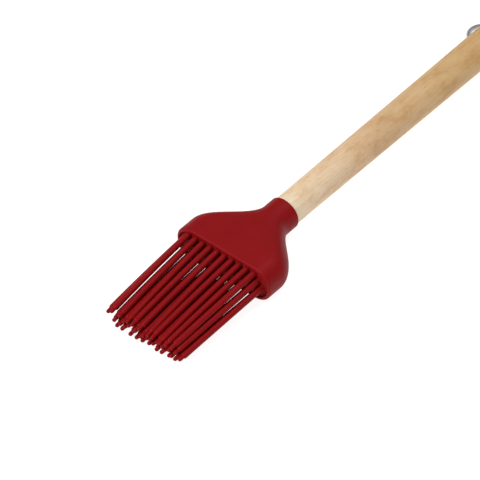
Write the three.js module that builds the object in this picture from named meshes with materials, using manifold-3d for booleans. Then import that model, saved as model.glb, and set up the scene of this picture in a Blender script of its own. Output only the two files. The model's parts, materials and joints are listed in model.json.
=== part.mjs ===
// A pastry brush: a turned wooden handle with a steel hanging ring, and a flared silicone
// head that holds four moulded combs of silicone bristles on a hidden nylon core.
//
// Millimetres, +Z up. While the pieces are made, +Y runs from the bristles to the end of the
// handle, y = 0 is the open mouth of the collar and z = 0 is the axis of the handle. At the end
// of the file the whole brush is set down on z = 0, centred over the origin.

import * as THREE from 'three';
import { mergeVertices } from 'three/addons/utils/BufferGeometryUtils.js';
import Module from 'manifold-3d';

const wasm = await Module();
wasm.setup();

// ---- driving dimensions -------------------------------------------------------------------

const GAP = 0.3;                    // clearance between pieces that touch on the real brush

const RIM_WIDTH = 48;               // collar across its mouth
const RIM_THICKNESS = 16.6;         // collar from top to underside at its mouth
const RIM_CORNER = 7.6;             // corner radius of the mouth's outline
const RIM_EDGE = 1.2;               // rounding of the rim's outer edge
const COLLAR_LENGTH = 38.2;
const COLLAR_WALL = 1.3;
const BAND_LENGTH = 8;              // straight band behind the mouth
const NECK_START = 32.4;            // where the shoulder has narrowed to the neck
const NECK_RADIUS = 7.2;
const NECK_EDGE = 0.2;              // rounding of the neck's end
const SHOULDER_SKEW = 1.12;         // above 1, the shoulder starts later and ends faster

const ROW_SIZES = [10, 11, 11, 10]; // bristles in each comb, from the top one down
const ROW_SPACING = 3;
const ROW_RISE = 0.8;               // the four rows together sit this much above the axis
const BRISTLE_PITCH = 3.76;
const BRISTLE_REACH = 48.2;         // from the mouth to the tips
const BRISTLE_ROOT_RADIUS = 1.3;
const BRISTLE_END_RADIUS = 1.22;    // at the shoulder before the nub
const NUB_RADIUS = 0.85;
const NUB_LENGTH = 2.2;
const NUB_SHOULDER = 0.9;           // length of the cone between bristle and nub
const NUB_ROUNDING = 0.6;           // length of the nub's rounded end
const TIP_SPREAD = 0.89;            // the field of tips is this much narrower than the roots
const TOP_SAG = 5.4;                // how far the tips hang below their roots in the top row
const BOTTOM_SAG = 2.9;             // and in the bottom row

const MOUTH_RECESS = 0.7;           // how far the combs' faces sit inside the mouth
const FLANGE_DEPTH = 2.6;           // front part of a comb's base, which fills the mouth
const TONGUE_DEPTH = 5;             // back part, which sits in a slot of the core
const TONGUE_THICKNESS = 1.2;
const TONGUE_INSET = 1.5;           // from the axis of a row's end bristle to the tongue's end
const JOIN_OVERLAP = 1;             // how far parts of one moulding run into each other

const HANDLE_RADIUS = 6.55;         // where it leaves the collar
const HANDLE_END_RADIUS = 7.2;      // its widest
const HANDLE_LENGTH = 138.6;        // from the collar to the end
const HANDLE_SWELL = 9;             // from the widest place to the end
const HANDLE_BOW = 0.2;             // how far the side's curve leans out of a straight taper
const END_FULLNESS = 0.6;           // near 1 the end is blunt, near 0 it is pointed
const HANDLE_SHOULDER_Y = 30;       // step from the tenon to the full handle, in the neck
const TENON_RADIUS = 4;
const TENON_LENGTH = 17;
const TENON_CHAMFER = 0.8;

const HOLE_FROM_END = 14;           // cross hole that the ring passes through
const HOLE_RADIUS = 2.8;

const RING_RADIUS = 12;             // to the middle of the wire
const RING_WIRE_RADIUS = 1;
const RING_IN_HOLE = 1.35;          // wire's middle to the hole's middle, on the far side
const RING_TABLE_GAP = 0.1;         // under the ring's lowest point as it lies

const CORNER_STEPS = 8;             // facets round one corner of the collar
const FLAT_STEPS = 4;               // facets along one flat of the collar
const RIM_STEPS = 3;                // facets across the rim's rounding
const SHOULDER_STEPS = 18;          // sections down the shoulder
const BRISTLE_SIDES = 8;
const ROUND_SIDES = 40;             // facets round the handle
const DRILL_SIDES = 24;
const SIDE_STEPS = 16;              // facets along the handle's side
const END_STEPS = 10;               // facets over the handle's rounded end
const WIRE_SIDES = 10;
const RING_STEPS = 48;
const MERGE_DISTANCE = 1e-5;

// ---- sizes worked out from them -----------------------------------------------------------

const HALF_WIDTH = RIM_WIDTH / 2;
const HALF_THICKNESS = RIM_THICKNESS / 2;
const HANDLE_END_Y = COLLAR_LENGTH + HANDLE_LENGTH;
const HOLE_Y = HANDLE_END_Y - HOLE_FROM_END;
const TENON_START_Y = HANDLE_SHOULDER_Y - TENON_LENGTH;
const FLANGE_BACK_Y = MOUTH_RECESS + FLANGE_DEPTH;
const TONGUE_BACK_Y = FLANGE_BACK_Y + TONGUE_DEPTH;
const ROW_COUNT = ROW_SIZES.length;
const CORE_FRONT_Y = FLANGE_BACK_Y + GAP;
const CORE_END_Y = HANDLE_SHOULDER_Y - GAP;

// ---- materials ----------------------------------------------------------------------------

const silicone = new THREE.MeshStandardMaterial({ color: 0x9c1420, roughness: 0.55, metalness: 0 });
const birch = new THREE.MeshStandardMaterial({ color: 0xdcbd92, roughness: 0.6, metalness: 0 });
const steel = new THREE.MeshStandardMaterial({ color: 0xb9babb, roughness: 0.25, metalness: 1 });
const nylon = new THREE.MeshStandardMaterial({ color: 0x2b2b2d, roughness: 0.6, metalness: 0 });

// ---- solids: closed geometries, joined and cut ----------------------------------------------

function solid(geometry) {
  const bare = geometry.clone();
  bare.deleteAttribute('normal');
  bare.deleteAttribute('uv');
  const merged = mergeVertices(bare, MERGE_DISTANCE);
  return new wasm.Manifold(new wasm.Mesh({
    numProp: 3,
    vertProperties: new Float32Array(merged.attributes.position.array),
    triVerts: new Uint32Array(merged.index.array),
  }));
}

function geometryOf(manifold) {
  const mesh = manifold.getMesh();
  const geometry = new THREE.BufferGeometry();
  geometry.setAttribute('position', new THREE.BufferAttribute(mesh.vertProperties, 3));
  geometry.setIndex(new THREE.BufferAttribute(mesh.triVerts, 1));
  geometry.computeVertexNormals();
  return geometry;
}

// A block between two values of y, centred on x and z.
function block(width, startY, endY, height, middleZ) {
  const geometry = new THREE.BoxGeometry(width, endY - startY, height);
  return solid(geometry.translate(0, (startY + endY) / 2, middleZ));
}

// A turned solid about the Y axis, from [radius, y] points that start and end on the axis.
function turned(profile, sides) {
  return new THREE.LatheGeometry(profile.map(([r, y]) => new THREE.Vector2(r, y)), sides);
}

// A closed skin over rings of points, each with the same number of points, with flat ends.
function loft(rings) {
  const count = rings[0].length;
  const positions = rings.flat().flatMap((p) => [p.x, p.y, p.z]);
  const index = [];
  for (let ring = 0; ring < rings.length - 1; ring++) {
    for (let i = 0; i < count; i++) {
      const next = (i + 1) % count;
      const a = ring * count + i;
      const b = ring * count + next;
      index.push(a, a + count, b, b, a + count, b + count);
    }
  }
  const last = (rings.length - 1) * count;
  for (let i = 1; i < count - 1; i++) {
    index.push(0, i, i + 1);
    index.push(last, last + i + 1, last + i);
  }
  const geometry = new THREE.BufferGeometry();
  geometry.setAttribute('position', new THREE.Float32BufferAttribute(positions, 3));
  geometry.setIndex(index);
  return geometry;
}

// ---- shape of the head --------------------------------------------------------------------

// Corner directions of the mouth's rounded outline: the middle of each corner's arc, in order.
const CORNERS = [[1, 1], [-1, 1], [-1, -1], [1, -1]];

// The mouth's outline scaled to a unit square, as a list of [u, v].
function unitOutline() {
  const points = [];
  CORNERS.forEach(([signX, signZ], corner) => {
    const centreX = signX * (HALF_WIDTH - RIM_CORNER);
    const centreZ = signZ * (HALF_THICKNESS - RIM_CORNER);
    for (let i = 0; i <= CORNER_STEPS; i++) {
      const angle = (corner + i / CORNER_STEPS) * Math.PI / 2;
      points.push([
        (centreX + RIM_CORNER * Math.cos(angle)) / HALF_WIDTH,
        (centreZ + RIM_CORNER * Math.sin(angle)) / HALF_THICKNESS,
      ]);
    }
    const onTopOrBottom = corner % 2 === 0;
    if (!onTopOrBottom) return;
    const flatHalf = (HALF_WIDTH - RIM_CORNER) / HALF_WIDTH;
    for (let i = 1; i < FLAT_STEPS; i++) {
      points.push([signX * flatHalf * (1 - 2 * i / FLAT_STEPS), signZ]);
    }
  });
  return points;
}

const OUTLINE = unitOutline();

function smooth(t) {
  const clamped = THREE.MathUtils.clamp(t, 0, 1);
  return clamped * clamped * (3 - 2 * clamped);
}

// The head's section at y, drawn in from its outside by inset: a rounded oblong over the band,
// easing through the shoulder to a circle at the neck. It is placed at placedY.
function headSection(y, inset, placedY = y) {
  const along = THREE.MathUtils.clamp((y - BAND_LENGTH) / (NECK_START - BAND_LENGTH), 0, 1);
  const narrowing = smooth(along ** SHOULDER_SKEW);
  const rounding = smooth(along);
  const halfWidth = THREE.MathUtils.lerp(HALF_WIDTH, NECK_RADIUS, narrowing) - inset;
  const halfThickness = THREE.MathUtils.lerp(HALF_THICKNESS, NECK_RADIUS, rounding) - inset;
  return OUTLINE.map(([u, v]) => {
    const angle = Math.atan2(v, u);
    const unitX = THREE.MathUtils.lerp(u, Math.cos(angle), rounding);
    const unitZ = THREE.MathUtils.lerp(v, Math.sin(angle), rounding);
    return new THREE.Vector3(unitX * halfWidth, placedY, unitZ * halfThickness);
  });
}

// The head's solid between two values of y, drawn in from its outside by inset.
function headSolid(startY, endY, inset, steps) {
  const rings = [];
  for (let i = 0; i <= steps; i++) {
    rings.push(headSection(THREE.MathUtils.lerp(startY, endY, i / steps), inset));
  }
  return solid(loft(rings));
}

function collar() {
  const rings = [];
  for (let i = 0; i < RIM_STEPS; i++) {
    const angle = i / RIM_STEPS * Math.PI / 2;
    const inset = RIM_EDGE * (1 - Math.sin(angle));
    rings.push(headSection(0, inset, RIM_EDGE * (1 - Math.cos(angle))));
  }
  rings.push(headSection(RIM_EDGE, 0));
  for (let i = 0; i <= SHOULDER_STEPS; i++) {
    rings.push(headSection(THREE.MathUtils.lerp(BAND_LENGTH, NECK_START, i / SHOULDER_STEPS), 0));
  }
  rings.push(headSection(COLLAR_LENGTH - NECK_EDGE, 0));
  rings.push(headSection(COLLAR_LENGTH, NECK_EDGE));
  const pocket = headSolid(-JOIN_OVERLAP, CORE_END_Y + GAP, COLLAR_WALL, SHOULDER_STEPS);
  const sleeveRadius = HANDLE_RADIUS + GAP;
  const sleeve = solid(turned([
    [0, HANDLE_SHOULDER_Y - GAP],
    [sleeveRadius, HANDLE_SHOULDER_Y - GAP],
    [sleeveRadius, COLLAR_LENGTH + JOIN_OVERLAP],
    [0, COLLAR_LENGTH + JOIN_OVERLAP],
  ], ROUND_SIDES));
  return geometryOf(solid(loft(rings)).subtract(pocket).subtract(sleeve));
}

// ---- bristle combs ------------------------------------------------------------------------

function rowHeight(row) {
  return ROW_RISE + ((ROW_COUNT - 1) / 2 - row) * ROW_SPACING;
}

// Between the axes of a row's end bristles.
function rowWidth(row) {
  return (ROW_SIZES[row] - 1) * BRISTLE_PITCH;
}

// The upper rows stand a quarter of the pitch to one side and the lower rows to the other. As
// the middle rows have one bristle more, each row is staggered by half a pitch to the next.
function rowShift(row) {
  return (row < ROW_COUNT / 2 ? -1 : 1) * BRISTLE_PITCH / 4;
}

function rowSag(row) {
  return THREE.MathUtils.lerp(TOP_SAG, BOTTOM_SAG, row / (ROW_COUNT - 1));
}

// One bristle along +Y from the origin: a slender cone, a short shoulder and a rounded nub.
function bristleShape(length) {
  const nubStart = length - NUB_LENGTH;
  const halfRound = NUB_ROUNDING / 2;
  const halfRoundRadius = NUB_RADIUS * Math.sqrt(3) / 2;
  return turned([
    [0, 0],
    [BRISTLE_ROOT_RADIUS, 0],
    [BRISTLE_END_RADIUS, nubStart - NUB_SHOULDER],
    [NUB_RADIUS, nubStart],
    [NUB_RADIUS, length - NUB_ROUNDING],
    [halfRoundRadius, length - halfRound],
    [0, length],
  ], BRISTLE_SIDES);
}

function bristle(x, row) {
  const z = rowHeight(row);
  const root = new THREE.Vector3(x, MOUTH_RECESS + JOIN_OVERLAP, z);
  const tip = new THREE.Vector3(x * TIP_SPREAD, -BRISTLE_REACH, z - rowSag(row));
  const way = tip.clone().sub(root);
  const turn = new THREE.Quaternion().setFromUnitVectors(
    new THREE.Vector3(0, 1, 0),
    way.clone().normalize(),
  );
  const placed = bristleShape(way.length()).applyQuaternion(turn);
  return solid(placed.translate(root.x, root.y, root.z));
}

// A comb's base fills its share of the mouth: the outer combs reach out to the mouth's walls.
function combFlange(row) {
  const mouthPlug = headSolid(MOUTH_RECESS, FLANGE_BACK_Y, COLLAR_WALL + GAP, 1);
  const isTop = row === 0;
  const isBottom = row === ROW_COUNT - 1;
  const top = isTop ? HALF_THICKNESS : rowHeight(row) + (ROW_SPACING - GAP) / 2;
  const bottom = isBottom ? -HALF_THICKNESS : rowHeight(row) - (ROW_SPACING - GAP) / 2;
  const share = block(RIM_WIDTH, 0, BAND_LENGTH, top - bottom, (top + bottom) / 2);
  return share.intersect(mouthPlug);
}

function tongueWidth(row) {
  return rowWidth(row) - 2 * TONGUE_INSET;
}

function bristleComb(row) {
  const tongueStart = FLANGE_BACK_Y - JOIN_OVERLAP;
  const height = rowHeight(row);
  const tongue = block(tongueWidth(row), tongueStart, TONGUE_BACK_Y, TONGUE_THICKNESS, height);
  let comb = combFlange(row).add(tongue.translate(rowShift(row), 0, 0));
  for (let i = 0; i < ROW_SIZES[row]; i++) {
    comb = comb.add(bristle(i * BRISTLE_PITCH - rowWidth(row) / 2 + rowShift(row), row));
  }
  return geometryOf(comb);
}

// ---- nylon core ---------------------------------------------------------------------------

function core() {
  let body = headSolid(CORE_FRONT_Y, CORE_END_Y, COLLAR_WALL + GAP, SHOULDER_STEPS);
  for (let row = 0; row < ROW_COUNT; row++) {
    const slotEnd = TONGUE_BACK_Y + GAP;
    const slotHeight = TONGUE_THICKNESS + 2 * GAP;
    const slot = block(tongueWidth(row) + 2 * GAP, 0, slotEnd, slotHeight, rowHeight(row));
    body = body.subtract(slot.translate(rowShift(row), 0, 0));
  }
  const socketRadius = TENON_RADIUS + GAP;
  const socket = turned([
    [0, TENON_START_Y - GAP],
    [socketRadius, TENON_START_Y - GAP],
    [socketRadius, COLLAR_LENGTH],
    [0, COLLAR_LENGTH],
  ], ROUND_SIDES);
  return geometryOf(body.subtract(solid(socket)));
}

// ---- handle -------------------------------------------------------------------------------

// The handle's outline from the collar to its end: nearly straight, with a slow swell, and
// closed by a rounded end.
function handleOutline() {
  const widestY = HANDLE_END_Y - HANDLE_SWELL;
  const sideLength = widestY - COLLAR_LENGTH;
  const side = new THREE.CubicBezierCurve(
    new THREE.Vector2(HANDLE_RADIUS, COLLAR_LENGTH),
    new THREE.Vector2(HANDLE_RADIUS + HANDLE_BOW, COLLAR_LENGTH + sideLength / 2),
    new THREE.Vector2(HANDLE_END_RADIUS - HANDLE_BOW, widestY - sideLength / 4),
    new THREE.Vector2(HANDLE_END_RADIUS, widestY),
  );
  const end = new THREE.CubicBezierCurve(
    new THREE.Vector2(HANDLE_END_RADIUS, widestY),
    new THREE.Vector2(HANDLE_END_RADIUS, widestY + HANDLE_SWELL * END_FULLNESS),
    new THREE.Vector2(HANDLE_END_RADIUS * END_FULLNESS, HANDLE_END_Y),
    new THREE.Vector2(0, HANDLE_END_Y),
  );
  return [...side.getPoints(SIDE_STEPS), ...end.getPoints(END_STEPS).slice(1)].map((p) => [p.x, p.y]);
}

function handle() {
  const body = solid(turned([
    [0, TENON_START_Y],
    [TENON_RADIUS - TENON_CHAMFER, TENON_START_Y],
    [TENON_RADIUS, TENON_START_Y + TENON_CHAMFER],
    [TENON_RADIUS, HANDLE_SHOULDER_Y],
    [HANDLE_RADIUS, HANDLE_SHOULDER_Y],
    ...handleOutline(),
  ], ROUND_SIDES));
  const drill = new THREE.CylinderGeometry(HOLE_RADIUS, HOLE_RADIUS, RIM_WIDTH, DRILL_SIDES);
  drill.rotateZ(Math.PI / 2).translate(0, HOLE_Y, 0);
  return geometryOf(body.subtract(solid(drill)));
}

// ---- hanging ring -------------------------------------------------------------------------

const RING_CENTRE = RING_RADIUS - RING_IN_HOLE;            // from the hole's axis
const RING_FAR = RING_CENTRE + RING_RADIUS;                // to the wire on the far side
const RING_DROP = HALF_THICKNESS - RING_WIRE_RADIUS - RING_TABLE_GAP;
const RING_DROOP = Math.asin(RING_DROP / RING_FAR);        // so that it lies on the table

// The ring's geometry has the hole's axis as its origin, and lies flat pointing along +Y.
function hangingRing() {
  const ring = new THREE.TorusGeometry(RING_RADIUS, RING_WIRE_RADIUS, WIRE_SIDES, RING_STEPS);
  return geometryOf(solid(ring.translate(0, RING_CENTRE, 0)));
}

// ---- assembly -----------------------------------------------------------------------------

const brush = new THREE.Group();

function addPiece(name, geometry, material, parent = brush) {
  const mesh = new THREE.Mesh(geometry, material);
  mesh.name = name;
  parent.add(mesh);
}

addPiece('handle', handle(), birch);
addPiece('collar', collar(), silicone);
addPiece('core', core(), nylon);
for (let row = 0; row < ROW_COUNT; row++) {
  addPiece(`bristle_comb_${row + 1}`, bristleComb(row), silicone);
}

const ringPivot = new THREE.Group();
ringPivot.position.set(0, HOLE_Y, 0);
ringPivot.rotation.x = -RING_DROOP;
brush.add(ringPivot);
addPiece('hanging_ring', hangingRing(), steel, ringPivot);

const box = new THREE.Box3().setFromObject(brush, true);
brush.position.set(0, -(box.min.y + box.max.y) / 2, -box.min.z);

export default brush;
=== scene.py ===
"""A pastry brush: silicone head, turned birch handle and steel hanging ring, on a white table."""

import json
import math
import random

import bmesh
import bpy
from mathutils import Matrix, Vector


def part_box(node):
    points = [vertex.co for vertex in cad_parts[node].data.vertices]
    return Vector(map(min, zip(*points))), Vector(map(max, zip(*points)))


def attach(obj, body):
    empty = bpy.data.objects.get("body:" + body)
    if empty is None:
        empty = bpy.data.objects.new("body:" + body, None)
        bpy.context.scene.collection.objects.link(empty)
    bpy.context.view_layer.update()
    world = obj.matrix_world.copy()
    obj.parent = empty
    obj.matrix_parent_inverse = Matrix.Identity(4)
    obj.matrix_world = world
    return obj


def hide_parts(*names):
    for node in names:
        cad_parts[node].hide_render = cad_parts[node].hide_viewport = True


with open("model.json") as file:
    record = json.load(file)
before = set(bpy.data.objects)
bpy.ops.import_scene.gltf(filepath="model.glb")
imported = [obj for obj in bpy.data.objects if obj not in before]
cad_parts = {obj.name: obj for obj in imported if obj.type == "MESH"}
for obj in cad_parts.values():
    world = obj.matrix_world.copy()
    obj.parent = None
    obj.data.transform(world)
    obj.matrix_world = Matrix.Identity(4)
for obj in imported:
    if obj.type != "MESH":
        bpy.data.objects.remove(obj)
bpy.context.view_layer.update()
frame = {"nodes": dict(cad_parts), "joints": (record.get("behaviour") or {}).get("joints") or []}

MM = 0.001

# ---- places and sizes taken from the frame --------------------------------------------------

COLLAR_LOW, COLLAR_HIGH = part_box("collar")
HANDLE_LOW, HANDLE_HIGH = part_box("handle")
RING_LOW, RING_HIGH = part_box("hanging_ring")

MOUTH_Y = COLLAR_LOW[1]
COLLAR_LENGTH = COLLAR_HIGH[1] - COLLAR_LOW[1]
HALF_WIDTH = (COLLAR_HIGH[0] - COLLAR_LOW[0]) / 2
HALF_THICKNESS = (COLLAR_HIGH[2] - COLLAR_LOW[2]) / 2
AXIS_Z = COLLAR_LOW[2] + HALF_THICKNESS
HANDLE_START_Y = COLLAR_HIGH[1]
HANDLE_END_Y = HANDLE_HIGH[1]
HANDLE_END_RADIUS = (HANDLE_HIGH[0] - HANDLE_LOW[0]) / 2
HOLE = Vector(frame["joints"][0]["pos_m"])
TIP_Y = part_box("bristle_comb_1")[0][1]

# ---- sizes that the frame's boxes don't give ------------------------------------------------

RIM_CORNER = 7.6 * MM
COLLAR_WALL = 1.3 * MM
RIM_EDGE = 1.05 * MM
LIP_EDGE = COLLAR_WALL - RIM_EDGE
BAND_LENGTH = 8 * MM
NECK_START = 32.4 * MM
NECK_RADIUS = 7.2 * MM
NECK_EDGE = 0.4 * MM
NECK_GRIP = 0.03 * MM
SHOULDER_SKEW = 1.12

# Rows of bristles, from the top one down.
ROW_SIZES = (10, 11, 11, 10)
ROW_COUNT = len(ROW_SIZES)
ROW_SPACING = 2.85 * MM
ROW_RISE = 0.95 * MM
BRISTLE_PITCH = 3.76 * MM

# One bristle: a flare at its root, a body that tapers a little, and a narrower nub at its tip.
BRISTLE_ROOT_RADIUS = 1.34 * MM
BRISTLE_END_RADIUS = 1.29 * MM
ROOT_FLARE = 0.2 * MM
ROOT_FLARE_LENGTH = 0.9 * MM
NUB_RADIUS = 0.86 * MM
NUB_LENGTH = 2.3 * MM
NUB_SHOULDER = 0.9 * MM

# Where the tips are: drawn together, the outer ones splayed, and all of them sagging.
TIP_SPREAD = 0.89
TIP_SPLAY = 1.3 * MM
SPLAY_POWER = 5
TOP_SAG = 5.4 * MM
BOTTOM_SAG = 2.9 * MM
MIDDLE_SAG_SHARE = 1.15
EDGE_SAG_SHARE = 0.92
LOWEST_TIP = 0.95 * MM
TIP_SCATTER_X = 0.45 * MM
TIP_SCATTER_Y = 0.35 * MM
TIP_SCATTER_Z = 0.4 * MM
SCATTER_SEED = 4

# The shares of its drop and of its sideways way that a bristle covers at an even slope.
EARLY_DROOP = 0.7
EARLY_SPREAD = 0.6

# The base of each comb: a flange in the mouth and a tongue behind it.
MOUTH_RECESS = 0.7 * MM
FLANGE_DEPTH = 2.6 * MM
TONGUE_DEPTH = 5 * MM
TONGUE_THICKNESS = 1.2 * MM
TONGUE_INSET = 1.5 * MM
SEAM = 0.05 * MM

HANDLE_RADIUS = 6.55 * MM
HANDLE_SWELL = 9 * MM
HANDLE_BOW = 0.2 * MM
END_FULLNESS = 0.6
TENON_RADIUS = 4 * MM
TENON_START = 13 * MM
TENON_END = 30 * MM
HOLE_RADIUS = 2.8 * MM
HOLE_CHAMFER = 0.4 * MM
SHARP_ANGLE = math.radians(35)
WIRE_RADIUS = 1.0 * MM


# ---- mesh helpers ---------------------------------------------------------------------------

def lerp(a, b, t):
    return a + (b - a) * t


def smooth(t):
    t = min(max(t, 0.0), 1.0)
    return t * t * (3 - 2 * t)


def in_scene(name, data):
    """A new object with this data, linked into the scene."""
    made = bpy.data.objects.new(name, data)
    bpy.context.scene.collection.objects.link(made)
    return made


def closed_mesh(name, verts, faces):
    """A mesh of one or more closed skins, with every face turned outwards."""
    mesh = bpy.data.meshes.new(name)
    mesh.from_pydata([tuple(v) for v in verts], [], faces)
    mesh.validate()
    skin = bmesh.new()
    skin.from_mesh(mesh)
    bmesh.ops.recalc_face_normals(skin, faces=skin.faces)
    skin.to_mesh(mesh)
    skin.free()
    return mesh


def shade_smooth(mesh):
    mesh.polygons.foreach_set("use_smooth", [True] * len(mesh.polygons))


def new_piece(name, verts, faces, body, material, replaces):
    """A smooth-shaded mesh object that rides on a CAD body and stands in for a CAD node."""
    mesh = closed_mesh(name, verts, faces)
    shade_smooth(mesh)
    mesh.materials.append(material)
    piece = in_scene(name, mesh)
    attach(piece, body)
    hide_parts(replaces)
    return piece


def circle(centre, across, up, sides):
    """Points round a circle, from the two radii that it is drawn with."""
    for i in range(sides):
        angle = 2 * math.pi * i / sides
        yield centre + across * math.cos(angle) + up * math.sin(angle)


def bridge(rings, count, closed=False, offset=0):
    """Quads between rings of count points each; closed joins the last ring to the first."""
    faces = []
    ring_pairs = rings if closed else rings - 1
    for ring in range(ring_pairs):
        low = offset + ring * count
        high = offset + (ring + 1) % rings * count
        for i in range(count):
            j = (i + 1) % count
            faces.append((low + i, low + j, high + j, high + i))
    return faces


def close_ends(verts, faces, start, sides, point):
    """A flat face over the first ring of a tube, and a fan from its last ring to a point."""
    faces.append(tuple(range(start, start + sides)))
    last = len(verts) - sides
    verts.append(point)
    for i in range(sides):
        faces.append((last + i, last + (i + 1) % sides, len(verts) - 1))


def bezier(points, steps):
    """Points on a cubic curve, its first end left out."""
    p0, p1, p2, p3 = (Vector(p) for p in points)
    curve = []
    for i in range(1, steps + 1):
        t = i / steps
        u = 1 - t
        curve.append(p0 * u**3 + p1 * 3 * u * u * t + p2 * 3 * u * t * t + p3 * t**3)
    return curve


# ---- material helpers -----------------------------------------------------------------------

# A mix node has a set of sockets for each kind of value. These are the ones for colours.
MIX_COLOUR_INPUTS = (0, 6, 7)
MIX_COLOUR_OUTPUT = 2


def new_material(name):
    material = bpy.data.materials.new(name)
    material.use_nodes = True
    return material, material.node_tree.nodes, material.node_tree.links


def node(nodes, kind, **values):
    """A new node, with its sockets or properties set by name."""
    made = nodes.new(kind)
    for key, value in values.items():
        if key in made.inputs:
            made.inputs[key].default_value = value
        else:
            setattr(made, key, value)
    return made


def ramp(nodes, links, share, stops):
    """The share turned into a colour, by (position, colour) stops."""
    made = nodes.new("ShaderNodeValToRGB")
    elements = made.color_ramp.elements
    while len(elements) < len(stops):
        elements.new(0.5)
    for element, (position, colour) in zip(elements, stops):
        element.position = position
        element.color = (*colour, 1.0)
    links.new(share, made.inputs["Fac"])
    return made.outputs["Color"]


def noise(nodes, links, scale, stretch=(1, 1, 1), detail=4.0, roughness=0.55, shift=(0, 0, 0)):
    """Noise with scale features to a metre of the object's own space, stretched along each axis."""
    coordinates = nodes.new("ShaderNodeTexCoord")
    mapping = node(nodes, "ShaderNodeMapping", Scale=stretch, Location=shift)
    links.new(coordinates.outputs["Object"], mapping.inputs["Vector"])
    made = node(nodes, "ShaderNodeTexNoise", Scale=scale, Detail=detail, Roughness=roughness)
    links.new(mapping.outputs["Vector"], made.inputs["Vector"])
    return made.outputs["Fac"]


def bump(nodes, links, shader, height, strength, distance):
    """Dents and ridges on the shader's surface, distance deep."""
    made = node(nodes, "ShaderNodeBump", Strength=strength, Distance=distance)
    links.new(height, made.inputs["Height"])
    links.new(made.outputs["Normal"], shader.inputs["Normal"])


def vary_roughness(nodes, links, shader, share, smoothest, roughest):
    """Patches of more and less gloss on the shader's surface."""
    made = nodes.new("ShaderNodeMapRange")
    made.inputs["To Min"].default_value = smoothest
    made.inputs["To Max"].default_value = roughest
    links.new(share, made.inputs["Value"])
    links.new(made.outputs["Result"], shader.inputs["Roughness"])


def multiply(nodes, links, colour, tint, factor):
    """The colour with the tint multiplied over it, as strongly as the factor says."""
    made = node(nodes, "ShaderNodeMix", data_type="RGBA", blend_type="MULTIPLY")
    factor_socket, colour_socket, tint_socket = (made.inputs[i] for i in MIX_COLOUR_INPUTS)
    factor_socket.default_value = factor
    links.new(colour, colour_socket)
    links.new(tint, tint_socket)
    return made.outputs[MIX_COLOUR_OUTPUT]


# ---- materials ------------------------------------------------------------------------------

WHITE = (1.0, 1.0, 1.0)
RED_DARK = (0.212, 0.0026, 0.0040)
RED_LIGHT = (0.238, 0.0034, 0.0050)
PALE_BIRCH = (0.82, 0.67, 0.49)
TANNED_BIRCH = (0.56, 0.34, 0.135)
BLOTCH_TINT = (0.84, 0.72, 0.56)
STREAK_TINT = (0.86, 0.82, 0.76)
FLECK_TINT = (0.62, 0.52, 0.42)
STEEL_GREY = (0.5, 0.5, 0.51)
NYLON_DARK = (0.018, 0.018, 0.02)
NYLON_LIGHT = (0.035, 0.035, 0.038)


def silicone_material():
    """Dark red silicone: satin, with a faint cloudiness in its colour and gloss."""
    material, nodes, links = new_material("red_silicone")
    shader = nodes["Principled BSDF"]
    cloud = noise(nodes, links, scale=90, detail=5)
    colour = ramp(nodes, links, cloud, [(0.3, RED_DARK), (0.7, RED_LIGHT)])
    links.new(colour, shader.inputs["Base Color"])
    haze = noise(nodes, links, scale=420, detail=3, shift=(0.3, 0.1, 0.2))
    vary_roughness(nodes, links, shader, haze, smoothest=0.42, roughest=0.54)
    shader.inputs["IOR"].default_value = 1.41
    shader.inputs["Specular IOR Level"].default_value = 0.13
    grain = noise(nodes, links, scale=2600, detail=2)
    bump(nodes, links, shader, grain, strength=0.08, distance=0.05 * MM)
    return material


def along_handle(nodes, links):
    """How far along the handle a point lies, from 0 at the collar to 1 at its end."""
    coordinates = nodes.new("ShaderNodeTexCoord")
    split = nodes.new("ShaderNodeSeparateXYZ")
    links.new(coordinates.outputs["Object"], split.inputs["Vector"])
    share = nodes.new("ShaderNodeMapRange")
    share.inputs["From Min"].default_value = HANDLE_START_Y
    share.inputs["From Max"].default_value = HANDLE_END_Y
    links.new(split.outputs["Y"], share.inputs["Value"])
    return share.outputs["Result"]


def birch_material():
    """Oiled birch, pale near the head and tanned towards the end, with figure, grain and flecks."""
    material, nodes, links = new_material("birch")
    shader = nodes["Principled BSDF"]
    colour = ramp(nodes, links, along_handle(nodes, links), [
        (0.0, PALE_BIRCH),
        (0.2, (0.75, 0.56, 0.38)),
        (0.38, (0.63, 0.42, 0.235)),
        (0.7, (0.60, 0.40, 0.195)),
        (1.0, TANNED_BIRCH),
    ])
    figure = noise(nodes, links, scale=190, stretch=(1, 0.45, 1), detail=6, roughness=0.65)
    blotches = ramp(nodes, links, figure, [
        (0.36, BLOTCH_TINT),
        (0.49, (0.96, 0.91, 0.84)),
        (0.6, WHITE),
    ])
    colour = multiply(nodes, links, colour, blotches, factor=0.9)
    grain = noise(nodes, links, scale=1700, stretch=(1, 0.03, 1), detail=4, roughness=0.6)
    streaks = ramp(nodes, links, grain, [(0.35, STREAK_TINT), (0.6, WHITE)])
    colour = multiply(nodes, links, colour, streaks, factor=0.55)
    pores = noise(nodes, links, scale=2600, stretch=(1, 0.12, 1), detail=1, shift=(0.1, 0.3, 0.2))
    flecks = ramp(nodes, links, pores, [(0.26, FLECK_TINT), (0.32, WHITE)])
    colour = multiply(nodes, links, colour, flecks, factor=0.6)
    links.new(colour, shader.inputs["Base Color"])
    vary_roughness(nodes, links, shader, figure, smoothest=0.44, roughest=0.6)
    shader.inputs["Specular IOR Level"].default_value = 0.4
    bump(nodes, links, shader, grain, strength=0.12, distance=0.1 * MM)
    return material


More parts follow.
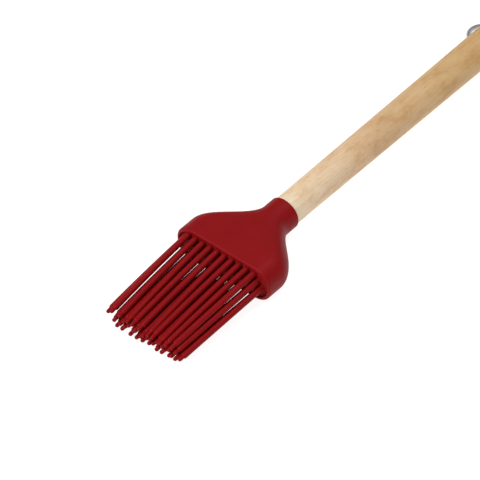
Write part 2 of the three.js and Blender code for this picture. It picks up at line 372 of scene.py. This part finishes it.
def steel_material():
    """Bright steel wire with faint marks all over it."""
    material, nodes, links = new_material("steel_wire")
    shader = nodes["Principled BSDF"]
    shader.inputs["Base Color"].default_value = (*STEEL_GREY, 1)
    shader.inputs["Metallic"].default_value = 1.0
    marks = noise(nodes, links, scale=900, detail=4)
    vary_roughness(nodes, links, shader, marks, smoothest=0.3, roughest=0.46)
    bump(nodes, links, shader, marks, strength=0.1, distance=0.05 * MM)
    return material


def nylon_material():
    """Dull black moulded nylon with a fine texture."""
    material, nodes, links = new_material("black_nylon")
    shader = nodes["Principled BSDF"]
    speckle = noise(nodes, links, scale=1500, detail=3)
    colour = ramp(nodes, links, speckle, [(0.3, NYLON_DARK), (0.7, NYLON_LIGHT)])
    links.new(colour, shader.inputs["Base Color"])
    shader.inputs["Roughness"].default_value = 0.6
    bump(nodes, links, shader, speckle, strength=0.2, distance=0.05 * MM)
    return material


# ---- silicone collar ------------------------------------------------------------------------

CORNER_STEPS = 20
FLAT_STEPS = 16


def unit_outline():
    """The mouth's rounded outline, scaled to a unit square."""
    points = []
    signs = ((1, 1), (-1, 1), (-1, -1), (1, -1))
    for corner, (sign_x, sign_z) in enumerate(signs):
        centre_x = sign_x * (HALF_WIDTH - RIM_CORNER)
        centre_z = sign_z * (HALF_THICKNESS - RIM_CORNER)
        for i in range(CORNER_STEPS + 1):
            angle = (corner + i / CORNER_STEPS) * math.pi / 2
            points.append((
                (centre_x + RIM_CORNER * math.cos(angle)) / HALF_WIDTH,
                (centre_z + RIM_CORNER * math.sin(angle)) / HALF_THICKNESS,
            ))
        if corner % 2 == 0:
            flat = (HALF_WIDTH - RIM_CORNER) / HALF_WIDTH
            for i in range(1, FLAT_STEPS):
                points.append((sign_x * flat * (1 - 2 * i / FLAT_STEPS), sign_z))
    return points


OUTLINE = unit_outline()


def head_section(y, inset, placed_y=None):
    """The head's section y behind the mouth, drawn in by inset and placed at placed_y."""
    along = min(max((y - BAND_LENGTH) / (NECK_START - BAND_LENGTH), 0.0), 1.0)
    narrowing = smooth(along**SHOULDER_SKEW)
    rounding = smooth(along)
    half_width = lerp(HALF_WIDTH, NECK_RADIUS, narrowing) - inset
    half_thickness = lerp(HALF_THICKNESS, NECK_RADIUS, rounding) - inset
    place = MOUTH_Y + (y if placed_y is None else placed_y)
    section = []
    for u, v in OUTLINE:
        angle = math.atan2(v, u)
        unit_x = lerp(u, math.cos(angle), rounding)
        unit_z = lerp(v, math.sin(angle), rounding)
        section.append(Vector((unit_x * half_width, place, AXIS_Z + unit_z * half_thickness)))
    return section


def quarter(steps):
    """Sine and cosine over a quarter turn, its start left out."""
    for i in range(1, steps + 1):
        angle = i / steps * math.pi / 2
        yield math.sin(angle), math.cos(angle)


def collar(material):
    """The sleeve as one closed skin: out of the mouth, over the rim, down to the neck, and back."""
    edge_steps = 7
    rings = [head_section(FLANGE_DEPTH, COLLAR_WALL), head_section(LIP_EDGE, COLLAR_WALL)]
    for rise, run in quarter(edge_steps):
        inset = COLLAR_WALL - LIP_EDGE * (1 - run)
        rings.append(head_section(LIP_EDGE, inset, LIP_EDGE * (1 - rise)))
    for rise, run in quarter(edge_steps):
        rings.append(head_section(0, RIM_EDGE * (1 - rise), RIM_EDGE * (1 - run)))
    band_steps = 6
    for i in range(1, band_steps):
        rings.append(head_section(lerp(RIM_EDGE, BAND_LENGTH, i / band_steps), 0))
    shoulder_steps = 48
    neck_edge_y = COLLAR_LENGTH - NECK_EDGE
    for i in range(shoulder_steps + 1):
        rings.append(head_section(lerp(BAND_LENGTH, neck_edge_y, i / shoulder_steps), 0))
    for rise, run in quarter(edge_steps):
        inset = NECK_EDGE * (1 - run)
        rings.append(head_section(COLLAR_LENGTH, inset, neck_edge_y + NECK_EDGE * rise))
    grip = NECK_RADIUS - HANDLE_RADIUS - NECK_GRIP
    rings.append(head_section(COLLAR_LENGTH, grip, COLLAR_LENGTH - NECK_GRIP))
    rings.append(head_section(COLLAR_LENGTH, grip, TENON_END))
    inner_steps = 14
    for i in range(1, inner_steps):
        rings.append(head_section(lerp(TENON_END, FLANGE_DEPTH, i / inner_steps), COLLAR_WALL))
    verts = [point for ring in rings for point in ring]
    faces = bridge(len(rings), len(OUTLINE), closed=True)
    return new_piece("silicone_collar", verts, faces, "brush", material, "collar")


# ---- bristles -------------------------------------------------------------------------------

BRISTLE_SIDES = 20
FLANGE_STEPS = 12


def bristle_profile(length):
    """(distance from the root, radius) along one bristle."""
    profile = []
    flare_steps = 5
    for i in range(flare_steps + 1):
        t = i / flare_steps
        profile.append((t * ROOT_FLARE_LENGTH, BRISTLE_ROOT_RADIUS + ROOT_FLARE * (1 - t)**2))
    shoulder = length - NUB_LENGTH - NUB_SHOULDER
    body_steps = 18
    for i in range(1, body_steps + 1):
        t = i / body_steps
        radius = lerp(BRISTLE_ROOT_RADIUS, BRISTLE_END_RADIUS, t)
        profile.append((lerp(ROOT_FLARE_LENGTH, shoulder, t), radius))
    cone_steps = 5
    for i in range(1, cone_steps + 1):
        t = i / cone_steps
        radius = lerp(BRISTLE_END_RADIUS, NUB_RADIUS, smooth(t))
        profile.append((shoulder + NUB_SHOULDER * t, radius))
    round_start = length - NUB_RADIUS
    profile.append((round_start, NUB_RADIUS))
    nub_steps = 7
    for rise, run in list(quarter(nub_steps))[:-1]:
        profile.append((round_start + NUB_RADIUS * rise, NUB_RADIUS * run))
    return profile


def droop(t):
    """How far a bristle has sagged at the share t of its length, of its whole sag."""
    return EARLY_DROOP * t + (1 - EARLY_DROOP) * t * t


def droop_slope(t):
    return EARLY_DROOP + 2 * (1 - EARLY_DROOP) * t


def add_bristle(verts, faces, root, tip):
    """One round bristle from root to tip, which bends down and sideways as it goes."""
    way = tip - root
    length = way.length
    early_x = way.x * EARLY_SPREAD
    late_x = way.x - early_x
    start = len(verts)
    profile = bristle_profile(length)
    for distance, radius in profile:
        t = distance / length
        centre = root + Vector((early_x * t + late_x * t * t, way.y * t, way.z * droop(t)))
        heading = Vector((early_x + 2 * late_x * t, way.y, way.z * droop_slope(t))).normalized()
        side = heading.cross(Vector((0, 0, 1))).normalized()
        up = side.cross(heading)
        verts.extend(circle(centre, side * radius, up * radius, BRISTLE_SIDES))
    faces.extend(bridge(len(profile), BRISTLE_SIDES, offset=start))
    close_ends(verts, faces, start, BRISTLE_SIDES, tip)


def row_height(row):
    return ROW_RISE + ((ROW_COUNT - 1) / 2 - row) * ROW_SPACING


def row_middle(row):
    """The upper rows sit a quarter pitch to one side and the lower to the other.

    With the rows' sizes, that sets each row half a pitch off its neighbours.
    """
    return (-1 if row < ROW_COUNT / 2 else 1) * BRISTLE_PITCH / 4


def row_half_span(row):
    return (ROW_SIZES[row] - 1) / 2 * BRISTLE_PITCH


def outermost_root():
    """How far off the brush's middle the outermost bristle of all rows has its root."""
    return max(row_half_span(row) + abs(row_middle(row)) for row in range(ROW_COUNT))


def bristle_ends(row, place, chance):
    """The root and the tip of one bristle: upper rows sag more, and their outer bristles splay."""
    x = place * BRISTLE_PITCH - row_half_span(row) + row_middle(row)
    z = AXIS_Z + row_height(row)
    outward = x / outermost_root()
    lowness = row / (ROW_COUNT - 1)
    splay = TIP_SPLAY * outward**SPLAY_POWER * (1 - lowness)**2
    sag_share = lerp(MIDDLE_SAG_SHARE, EDGE_SAG_SHARE, outward**2)
    sag = lerp(TOP_SAG, BOTTOM_SAG, lowness) * sag_share
    tip_x = x * TIP_SPREAD + splay + chance.gauss(0, TIP_SCATTER_X)
    tip_y = TIP_Y + abs(chance.gauss(0, TIP_SCATTER_Y))
    tip_z = max(z - sag + chance.gauss(0, TIP_SCATTER_Z), LOWEST_TIP)
    return Vector((x, MOUTH_Y + MOUTH_RECESS + SEAM, z)), Vector((tip_x, tip_y, tip_z))


def flange_half_width(z, inset):
    """Half the width of the mouth's outline, drawn in by inset, at the height z off its middle."""
    stretch_x = (HALF_WIDTH - inset) / HALF_WIDTH
    stretch_z = (HALF_THICKNESS - inset) / HALF_THICKNESS
    above = max(abs(z) / stretch_z - (HALF_THICKNESS - RIM_CORNER), 0.0)
    drawn_in = RIM_CORNER - math.sqrt(max(RIM_CORNER**2 - above**2, 0.0))
    return (HALF_WIDTH - drawn_in) * stretch_x


def add_slab(verts, faces, levels, front, back):
    """A closed slab between two values of y, from its (z, left, right) levels."""
    start = len(verts)
    for y in (front, back):
        for z, left, right in levels:
            verts.append(Vector((left, y, AXIS_Z + z)))
            verts.append(Vector((right, y, AXIS_Z + z)))
    depth = 2 * len(levels)
    for i in range(start, start + depth - 2, 2):
        faces.append((i, i + 1, i + 3, i + 2))
        faces.append((i + depth, i + depth + 2, i + depth + 3, i + depth + 1))
        faces.append((i + 1, i + depth + 1, i + depth + 3, i + 3))
        faces.append((i, i + 2, i + depth + 2, i + depth))
    top = start + depth - 2
    faces.append((start, start + depth, start + depth + 1, start + 1))
    faces.append((top, top + 1, top + depth + 1, top + depth))


def comb_base(row, verts, faces):
    """The flange that fills a comb's share of the mouth, and the tongue behind it."""
    inset = COLLAR_WALL + SEAM
    reach = HALF_THICKNESS - inset
    half_share = (ROW_SPACING - SEAM) / 2
    bottom = -reach if row == ROW_COUNT - 1 else row_height(row) - half_share
    top = reach if row == 0 else row_height(row) + half_share
    levels = []
    for i in range(FLANGE_STEPS + 1):
        z = lerp(bottom, top, i / FLANGE_STEPS)
        half_width = flange_half_width(z, inset)
        levels.append((z, -half_width, half_width))
    front = MOUTH_Y + MOUTH_RECESS
    back = front + FLANGE_DEPTH
    add_slab(verts, faces, levels, front, back)
    half_span = row_half_span(row) - TONGUE_INSET
    middle = row_middle(row)
    tongue = []
    for side in (-1, 1):
        z = row_height(row) + side * TONGUE_THICKNESS / 2
        tongue.append((z, middle - half_span, middle + half_span))
    add_slab(verts, faces, tongue, back - SEAM, back + TONGUE_DEPTH)


def comb(row, chance, material):
    """One moulded comb: its bristles on its base."""
    verts, faces = [], []
    for place in range(ROW_SIZES[row]):
        root, tip = bristle_ends(row, place, chance)
        add_bristle(verts, faces, root, tip)
    comb_base(row, verts, faces)
    number = row + 1
    return new_piece(f"silicone_comb_{number}", verts, faces, "brush", material,
                     f"bristle_comb_{number}")


# ---- handle ---------------------------------------------------------------------------------

HANDLE_SIDES = 96
HOLE_SIDES = 48
HANDLE_SIDE_STEPS = 60
HANDLE_END_STEPS = 30


def handle_outline():
    """(radius, y) from the tenon's end to the rounded end, the point on the axis left out."""
    shoulder = MOUTH_Y + TENON_END
    widest_y = HANDLE_END_Y - HANDLE_SWELL
    side_length = widest_y - HANDLE_START_Y
    points = [Vector((TENON_RADIUS, MOUTH_Y + TENON_START)), Vector((TENON_RADIUS, shoulder)),
              Vector((HANDLE_RADIUS, shoulder)), Vector((HANDLE_RADIUS, HANDLE_START_Y))]
    points += bezier([
        (HANDLE_RADIUS, HANDLE_START_Y),
        (HANDLE_RADIUS + HANDLE_BOW, HANDLE_START_Y + side_length / 2),
        (HANDLE_END_RADIUS - HANDLE_BOW, widest_y - side_length / 4),
        (HANDLE_END_RADIUS, widest_y),
    ], HANDLE_SIDE_STEPS)
    points += bezier([
        (HANDLE_END_RADIUS, widest_y),
        (HANDLE_END_RADIUS, widest_y + HANDLE_SWELL * END_FULLNESS),
        (HANDLE_END_RADIUS * END_FULLNESS, HANDLE_END_Y),
        (0, HANDLE_END_Y),
    ], HANDLE_END_STEPS)
    return points[:-1]


def lathe(outline):
    """A closed skin turned about the brush's axis, with a point at its far end."""
    verts, faces = [], []
    for radius, y in outline:
        centre = Vector((0, y, AXIS_Z))
        verts.extend(circle(centre, Vector((radius, 0, 0)), Vector((0, 0, radius)), HANDLE_SIDES))
    faces.extend(bridge(len(outline), HANDLE_SIDES))
    close_ends(verts, faces, 0, HANDLE_SIDES, Vector((0, HANDLE_END_Y, AXIS_Z)))
    return verts, faces


def hole_cutter():
    """A drill along X through the handle's end, opening out at 45 degrees at each mouth."""
    inner = HANDLE_END_RADIUS - HOLE_CHAMFER
    flare = 3 * HOLE_CHAMFER
    outline = [(HOLE_RADIUS + flare, -inner - flare), (HOLE_RADIUS, -inner),
               (HOLE_RADIUS, inner), (HOLE_RADIUS + flare, inner + flare)]
    verts = []
    for radius, x in outline:
        centre = HOLE + Vector((x, 0, 0))
        verts.extend(circle(centre, Vector((0, radius, 0)), Vector((0, 0, radius)), HOLE_SIDES))
    faces = bridge(len(outline), HOLE_SIDES)
    faces.append(tuple(range(HOLE_SIDES)))
    faces.append(tuple(range(len(verts) - HOLE_SIDES, len(verts))))
    return in_scene("hole_cutter", closed_mesh("hole_cutter", verts, faces))


def drill(piece, cutter):
    """Take the cutter's shape out of the piece, and take the cutter away."""
    boolean = piece.modifiers.new("cross_hole", "BOOLEAN")
    boolean.object = cutter
    boolean.operation = "DIFFERENCE"
    boolean.solver = "EXACT"
    depsgraph = bpy.context.evaluated_depsgraph_get()
    cut = bpy.data.meshes.new_from_object(piece.evaluated_get(depsgraph))
    piece.modifiers.clear()
    piece.data = cut
    bpy.data.objects.remove(cutter)


def handle(material):
    """The turned handle, with the ring's hole through its end."""
    verts, faces = lathe(handle_outline())
    piece = new_piece("birch_handle", verts, faces, "brush", material, "handle")
    drill(piece, hole_cutter())
    shade_smooth(piece.data)
    piece.data.set_sharp_from_angle(angle=SHARP_ANGLE)
    return piece


# ---- hanging ring ---------------------------------------------------------------------------

RING_STEPS = 160
WIRE_SIDES = 24


def hanging_ring(material):
    """The wire ring, in the plane that the CAD ring lies in."""
    radius = (RING_HIGH[0] - RING_LOW[0]) / 2 - WIRE_RADIUS
    middle = (Vector(RING_LOW) + Vector(RING_HIGH)) / 2
    toward = middle - HOLE
    toward.x = 0
    toward.normalize()
    across = Vector((1, 0, 0))
    normal = across.cross(toward)
    verts = []
    for out in circle(Vector((0, 0, 0)), across, toward, RING_STEPS):
        centre = middle + out * radius
        verts.extend(circle(centre, out * WIRE_RADIUS, normal * WIRE_RADIUS, WIRE_SIDES))
    faces = bridge(RING_STEPS, WIRE_SIDES, closed=True)
    return new_piece("steel_ring", verts, faces, "ring", material, "hanging_ring")


# ---- core -----------------------------------------------------------------------------------

def paint_core(material):
    """The hidden core keeps its CAD mesh and gets a new material."""
    materials = frame["nodes"]["core"].data.materials
    materials.clear()
    materials.append(material)


# ---- room -----------------------------------------------------------------------------------

TABLE_HALF_SIZE = 3.0
TABLE_GLOW = 0.9
WORLD_STRENGTH = 0.45
WORLD_HORIZON = (0.5, 0.5, 0.5)

KEY_PLACE = (-0.2, -0.9, 1.1)
KEY_POWER = 14
FILL_PLACE = (0.1, 0.6, 1.3)
FILL_POWER = 5
SOFTBOX_SIZE = 0.9

CAMERA_AZIMUTH = math.radians(41.1)
CAMERA_ELEVATION = math.radians(44.7)
CAMERA_ROLL = math.radians(-1.04)
CAMERA_DISTANCE = 2.5
PICTURE_WIDTH = 0.189
AIM_BEHIND_MOUTH = 0.8 * MM
AIM_RIGHT = 6.35 * MM
AIM_UP = 9.31 * MM


def table():
    """A plain white table top, which glows a little so that it stays an even white."""
    half = TABLE_HALF_SIZE
    mesh = bpy.data.meshes.new("table_top")
    corners = [(-half, -half, 0), (half, -half, 0), (half, half, 0), (-half, half, 0)]
    mesh.from_pydata(corners, [], [(0, 1, 2, 3)])
    material, nodes, _ = new_material("table_white")
    shader = nodes["Principled BSDF"]
    shader.inputs["Base Color"].default_value = (0.3, 0.3, 0.3, 1)
    shader.inputs["Roughness"].default_value = 0.9
    shader.inputs["Specular IOR Level"].default_value = 0.1
    shader.inputs["Emission Color"].default_value = (*WHITE, 1)
    shader.inputs["Emission Strength"].default_value = TABLE_GLOW
    mesh.materials.append(material)
    in_scene("table_top", mesh)


def softbox(name, place, power):
    """A round soft light that shines at the middle of the brush."""
    data = bpy.data.lights.new(name, "AREA")
    data.shape = "DISK"
    data.size = SOFTBOX_SIZE
    data.energy = power
    light = in_scene(name, data)
    light.location = place
    light.rotation_mode = "QUATERNION"
    light.rotation_quaternion = (-Vector(place)).to_track_quat("-Z", "Y")


def studio_world():
    """A soft room: bright overhead, dimmer at the horizon and below it."""
    world = bpy.data.worlds.new("studio")
    bpy.context.scene.world = world
    world.use_nodes = True
    nodes, links = world.node_tree.nodes, world.node_tree.links
    coordinates = nodes.new("ShaderNodeTexCoord")
    split = nodes.new("ShaderNodeSeparateXYZ")
    links.new(coordinates.outputs["Generated"], split.inputs["Vector"])
    height = nodes.new("ShaderNodeMapRange")
    height.inputs["From Min"].default_value = -1.0
    links.new(split.outputs["Z"], height.inputs["Value"])
    shade = ramp(nodes, links, height.outputs["Result"], [(0.5, WORLD_HORIZON), (0.8, WHITE)])
    background = nodes["Background"]
    links.new(shade, background.inputs["Color"])
    background.inputs["Strength"].default_value = WORLD_STRENGTH


def lighting():
    """The room's light and two soft lights, with colours shown as they are."""
    studio_world()
    softbox("key_softbox", KEY_PLACE, KEY_POWER)
    softbox("fill_softbox", FILL_PLACE, FILL_POWER)
    bpy.context.scene.view_settings.view_transform = "Standard"


def camera():
    """Looks down on the head from in front and to the right, from far off."""
    level = Vector((math.cos(CAMERA_AZIMUTH), math.sin(CAMERA_AZIMUTH), 0))
    away = Vector((math.sin(CAMERA_AZIMUTH), -math.cos(CAMERA_AZIMUTH), 0))
    back = away * math.cos(CAMERA_ELEVATION) + Vector((0, 0, math.sin(CAMERA_ELEVATION)))
    upright = back.cross(level)
    right = level * math.cos(CAMERA_ROLL) + upright * math.sin(CAMERA_ROLL)
    up = upright * math.cos(CAMERA_ROLL) - level * math.sin(CAMERA_ROLL)
    aim = Vector((0, MOUTH_Y + AIM_BEHIND_MOUTH, AXIS_Z)) + right * AIM_RIGHT + up * AIM_UP
    data = bpy.data.cameras.new("camera")
    data.sensor_width = 36
    data.lens = data.sensor_width * CAMERA_DISTANCE / PICTURE_WIDTH
    data.clip_start = 0.1
    data.clip_end = 20
    made = in_scene("camera", data)
    turn = Matrix((right, up, back)).transposed()
    made.matrix_world = Matrix.Translation(aim + back * CAMERA_DISTANCE) @ turn.to_4x4()
    bpy.context.scene.camera = made


# ---- scene ----------------------------------------------------------------------------------

camera()
lighting()
table()

red = silicone_material()
collar(red)
chance = random.Random(SCATTER_SEED)
for row in range(ROW_COUNT):
    comb(row, chance, red)
handle(birch_material())
hanging_ring(steel_material())
paint_core(nylon_material())
